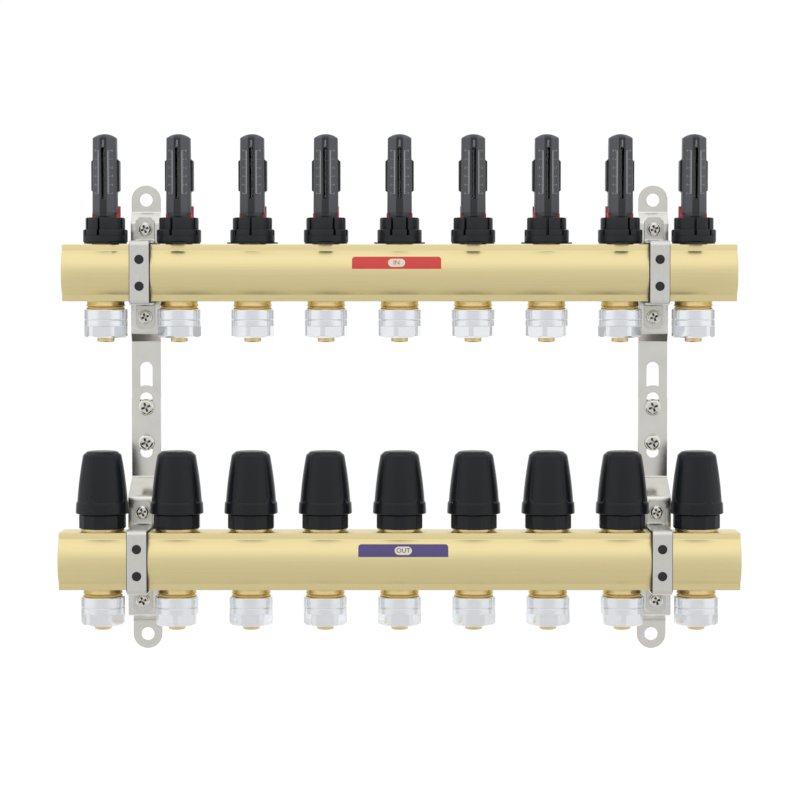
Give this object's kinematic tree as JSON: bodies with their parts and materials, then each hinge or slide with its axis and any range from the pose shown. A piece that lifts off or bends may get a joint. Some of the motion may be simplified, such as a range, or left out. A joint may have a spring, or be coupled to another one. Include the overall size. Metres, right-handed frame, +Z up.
{
  "type": "underfloor heating manifold",
  "caption": "Wall-hung underfloor heating manifold: brass supply bar with flow meters above a brass return bar with hand-knob valves, union nuts below and two bent steel brackets.",
  "frame": {"origin": "centre of the four wall bolt holes, on the wall plane", "axes": "+X along the bars to the right as seen from the front, +Y into the wall, +Z up"},
  "size_m": [0.456, 0.0794, 0.3547],
  "materials": {
    "brass": "satin, brushed lengthwise",
    "turned_brass": "turned",
    "plated_nut": "nickel plated, machined",
    "bracket_steel": "satin nickel",
    "screw_steel": "bright zinc",
    "black_plastic": "satin moulded",
    "red_plastic": "moulded",
    "clear_plastic": "clear",
    "black_rubber": "matte",
    "red_label": "printed film",
    "violet_label": "printed film"
  },
  "bodies": {
    "supply_side": {"supply_bar": "brass", "meter_valve_bodies": "turned_brass", "meter_base_flanges": "black_plastic", "meter_lock_clips": "red_plastic", "meter_housings": "black_plastic", "meter_sight_tubes": "clear_plastic", "supply_union_nuts": "plated_nut", "supply_pipe_inserts": "turned_brass", "supply_label": "red_label", "upper_bracket_plates": "bracket_steel", "supply_straps": "bracket_steel", "supply_strap_liners": "black_rubber", "supply_strap_screws": "screw_steel", "bracket_bolts": "screw_steel"},
    "return_side": {"return_bar": "brass", "valve_inserts": "turned_brass", "knob_collars": "black_plastic", "return_union_nuts": "plated_nut", "return_pipe_inserts": "turned_brass", "return_label": "violet_label", "lower_bracket_plates": "bracket_steel", "return_straps": "bracket_steel", "return_strap_liners": "black_rubber", "return_strap_screws": "screw_steel"},
    "flow_dial_1": {"flow_dial_1": "black_plastic"},
    "flow_float_1": {"flow_float_1": "red_plastic"},
    "valve_spindle_1": {"valve_spindle_1": "turned_brass"},
    "return_knob_1": {"return_knob_1": "black_plastic"},
    "flow_dial_2": {"flow_dial_2": "black_plastic"},
    "flow_float_2": {"flow_float_2": "red_plastic"},
    "valve_spindle_2": {"valve_spindle_2": "turned_brass"},
    "return_knob_2": {"return_knob_2": "black_plastic"},
    "flow_dial_3": {"flow_dial_3": "black_plastic"},
    "flow_float_3": {"flow_float_3": "red_plastic"},
    "valve_spindle_3": {"valve_spindle_3": "turned_brass"},
    "return_knob_3": {"return_knob_3": "black_plastic"},
    "flow_dial_4": {"flow_dial_4": "black_plastic"},
    "flow_float_4": {"flow_float_4": "red_plastic"},
    "valve_spindle_4": {"valve_spindle_4": "turned_brass"},
    "return_knob_4": {"return_knob_4": "black_plastic"},
    "flow_dial_5": {"flow_dial_5": "black_plastic"},
    "flow_float_5": {"flow_float_5": "red_plastic"},
    "valve_spindle_5": {"valve_spindle_5": "turned_brass"},
    "return_knob_5": {"return_knob_5": "black_plastic"},
    "flow_dial_6": {"flow_dial_6": "black_plastic"},
    "flow_float_6": {"flow_float_6": "red_plastic"},
    "valve_spindle_6": {"valve_spindle_6": "turned_brass"},
    "return_knob_6": {"return_knob_6": "black_plastic"},
    "flow_dial_7": {"flow_dial_7": "black_plastic"},
    "flow_float_7": {"flow_float_7": "red_plastic"},
    "valve_spindle_7": {"valve_spindle_7": "turned_brass"},
    "return_knob_7": {"return_knob_7": "black_plastic"},
    "flow_dial_8": {"flow_dial_8": "black_plastic"},
    "flow_float_8": {"flow_float_8": "red_plastic"},
    "valve_spindle_8": {"valve_spindle_8": "turned_brass"},
    "return_knob_8": {"return_knob_8": "black_plastic"},
    "flow_dial_9": {"flow_dial_9": "black_plastic"},
    "flow_float_9": {"flow_float_9": "red_plastic"},
    "valve_spindle_9": {"valve_spindle_9": "turned_brass"},
    "return_knob_9": {"return_knob_9": "black_plastic"}
  },
  "joints": [
    {"name": "bar_spacing", "type": "slide", "parent": "supply_side", "child": "return_side", "axis": [0, 0, 1], "range_m": [-0.0025, 0.0025]},
    {"name": "flow_set_1", "type": "hinge", "parent": "supply_side", "child": "flow_dial_1", "pos_m": [-0.2, -0.031, 0.13], "axis": [0, 0, 1], "range_deg": [0, 900]},
    {"name": "flow_reading_1", "type": "slide", "parent": "supply_side", "child": "flow_float_1", "axis": [0, 0, -1], "range_m": [0, 0.031], "stiffness_N_per_m": 20, "springref_m": -0.01},
    {"name": "knob_turn_1", "type": "hinge", "parent": "valve_spindle_1", "child": "return_knob_1", "pos_m": [-0.2, -0.056, -0.043], "axis": [0, 0, 1], "range_deg": [0, 720]},
    {"name": "valve_lift_1", "type": "slide", "parent": "return_side", "child": "valve_spindle_1", "axis": [0, 0, 1], "range_m": [0, 0.003]},
    {"name": "flow_set_2", "type": "hinge", "parent": "supply_side", "child": "flow_dial_2", "pos_m": [-0.15, -0.031, 0.13], "axis": [0, 0, 1], "range_deg": [0, 900]},
    {"name": "flow_reading_2", "type": "slide", "parent": "supply_side", "child": "flow_float_2", "axis": [0, 0, -1], "range_m": [0, 0.031], "stiffness_N_per_m": 20, "springref_m": -0.01},
    {"name": "knob_turn_2", "type": "hinge", "parent": "valve_spindle_2", "child": "return_knob_2", "pos_m": [-0.15, -0.056, -0.043], "axis": [0, 0, 1], "range_deg": [0, 720]},
    {"name": "valve_lift_2", "type": "slide", "parent": "return_side", "child": "valve_spindle_2", "axis": [0, 0, 1], "range_m": [0, 0.003]},
    {"name": "flow_set_3", "type": "hinge", "parent": "supply_side", "child": "flow_dial_3", "pos_m": [-0.1, -0.031, 0.13], "axis": [0, 0, 1], "range_deg": [0, 900]},
    {"name": "flow_reading_3", "type": "slide", "parent": "supply_side", "child": "flow_float_3", "axis": [0, 0, -1], "range_m": [0, 0.031], "stiffness_N_per_m": 20, "springref_m": -0.01},
    {"name": "knob_turn_3", "type": "hinge", "parent": "valve_spindle_3", "child": "return_knob_3", "pos_m": [-0.1, -0.056, -0.043], "axis": [0, 0, 1], "range_deg": [0, 720]},
    {"name": "valve_lift_3", "type": "slide", "parent": "return_side", "child": "valve_spindle_3", "axis": [0, 0, 1], "range_m": [0, 0.003]},
    {"name": "flow_set_4", "type": "hinge", "parent": "supply_side", "child": "flow_dial_4", "pos_m": [-0.05, -0.031, 0.13], "axis": [0, 0, 1], "range_deg": [0, 900]},
    {"name": "flow_reading_4", "type": "slide", "parent": "supply_side", "child": "flow_float_4", "axis": [0, 0, -1], "range_m": [0, 0.031], "stiffness_N_per_m": 20, "springref_m": -0.01},
    {"name": "knob_turn_4", "type": "hinge", "parent": "valve_spindle_4", "child": "return_knob_4", "pos_m": [-0.05, -0.056, -0.043], "axis": [0, 0, 1], "range_deg": [0, 720]},
    {"name": "valve_lift_4", "type": "slide", "parent": "return_side", "child": "valve_spindle_4", "axis": [0, 0, 1], "range_m": [0, 0.003]},
    {"name": "flow_set_5", "type": "hinge", "parent": "supply_side", "child": "flow_dial_5", "pos_m": [0, -0.031, 0.13], "axis": [0, 0, 1], "range_deg": [0, 900]},
    {"name": "flow_reading_5", "type": "slide", "parent": "supply_side", "child": "flow_float_5", "axis": [0, 0, -1], "range_m": [0, 0.031], "stiffness_N_per_m": 20, "springref_m": -0.01},
    {"name": "knob_turn_5", "type": "hinge", "parent": "valve_spindle_5", "child": "return_knob_5", "pos_m": [0, -0.056, -0.043], "axis": [0, 0, 1], "range_deg": [0, 720]},
    {"name": "valve_lift_5", "type": "slide", "parent": "return_side", "child": "valve_spindle_5", "axis": [0, 0, 1], "range_m": [0, 0.003]},
    {"name": "flow_set_6", "type": "hinge", "parent": "supply_side", "child": "flow_dial_6", "pos_m": [0.05, -0.031, 0.13], "axis": [0, 0, 1], "range_deg": [0, 900]},
    {"name": "flow_reading_6", "type": "slide", "parent": "supply_side", "child": "flow_float_6", "axis": [0, 0, -1], "range_m": [0, 0.031], "stiffness_N_per_m": 20, "springref_m": -0.01},
    {"name": "knob_turn_6", "type": "hinge", "parent": "valve_spindle_6", "child": "return_knob_6", "pos_m": [0.05, -0.056, -0.043], "axis": [0, 0, 1], "range_deg": [0, 720]},
    {"name": "valve_lift_6", "type": "slide", "parent": "return_side", "child": "valve_spindle_6", "axis": [0, 0, 1], "range_m": [0, 0.003]},
    {"name": "flow_set_7", "type": "hinge", "parent": "supply_side", "child": "flow_dial_7", "pos_m": [0.1, -0.031, 0.13], "axis": [0, 0, 1], "range_deg": [0, 900]},
    {"name": "flow_reading_7", "type": "slide", "parent": "supply_side", "child": "flow_float_7", "axis": [0, 0, -1], "range_m": [0, 0.031], "stiffness_N_per_m": 20, "springref_m": -0.01},
    {"name": "knob_turn_7", "type": "hinge", "parent": "valve_spindle_7", "child": "return_knob_7", "pos_m": [0.1, -0.056, -0.043], "axis": [0, 0, 1], "range_deg": [0, 720]},
    {"name": "valve_lift_7", "type": "slide", "parent": "return_side", "child": "valve_spindle_7", "axis": [0, 0, 1], "range_m": [0, 0.003]},
    {"name": "flow_set_8", "type": "hinge", "parent": "supply_side", "child": "flow_dial_8", "pos_m": [0.15, -0.031, 0.13], "axis": [0, 0, 1], "range_deg": [0, 900]},
    {"name": "flow_reading_8", "type": "slide", "parent": "supply_side", "child": "flow_float_8", "axis": [0, 0, -1], "range_m": [0, 0.031], "stiffness_N_per_m": 20, "springref_m": -0.01},
    {"name": "knob_turn_8", "type": "hinge", "parent": "valve_spindle_8", "child": "return_knob_8", "pos_m": [0.15, -0.056, -0.043], "axis": [0, 0, 1], "range_deg": [0, 720]},
    {"name": "valve_lift_8", "type": "slide", "parent": "return_side", "child": "valve_spindle_8", "axis": [0, 0, 1], "range_m": [0, 0.003]},
    {"name": "flow_set_9", "type": "hinge", "parent": "supply_side", "child": "flow_dial_9", "pos_m": [0.2, -0.031, 0.13], "axis": [0, 0, 1], "range_deg": [0, 900]},
    {"name": "flow_reading_9", "type": "slide", "parent": "supply_side", "child": "flow_float_9", "axis": [0, 0, -1], "range_m": [0, 0.031], "stiffness_N_per_m": 20, "springref_m": -0.01},
    {"name": "knob_turn_9", "type": "hinge", "parent": "valve_spindle_9", "child": "return_knob_9", "pos_m": [0.2, -0.056, -0.043], "axis": [0, 0, 1], "range_deg": [0, 720]},
    {"name": "valve_lift_9", "type": "slide", "parent": "return_side", "child": "valve_spindle_9", "axis": [0, 0, 1], "range_m": [0, 0.003]}
  ],
  "couplings": [
    {"joint": "knob_turn_1", "follows": "valve_lift_1", "rad_per_m": 4188.8},
    {"joint": "knob_turn_2", "follows": "valve_lift_2", "rad_per_m": 4188.8},
    {"joint": "knob_turn_3", "follows": "valve_lift_3", "rad_per_m": 4188.8},
    {"joint": "knob_turn_4", "follows": "valve_lift_4", "rad_per_m": 4188.8},
    {"joint": "knob_turn_5", "follows": "valve_lift_5", "rad_per_m": 4188.8},
    {"joint": "knob_turn_6", "follows": "valve_lift_6", "rad_per_m": 4188.8},
    {"joint": "knob_turn_7", "follows": "valve_lift_7", "rad_per_m": 4188.8},
    {"joint": "knob_turn_8", "follows": "valve_lift_8", "rad_per_m": 4188.8},
    {"joint": "knob_turn_9", "follows": "valve_lift_9", "rad_per_m": 4188.8}
  ]
}
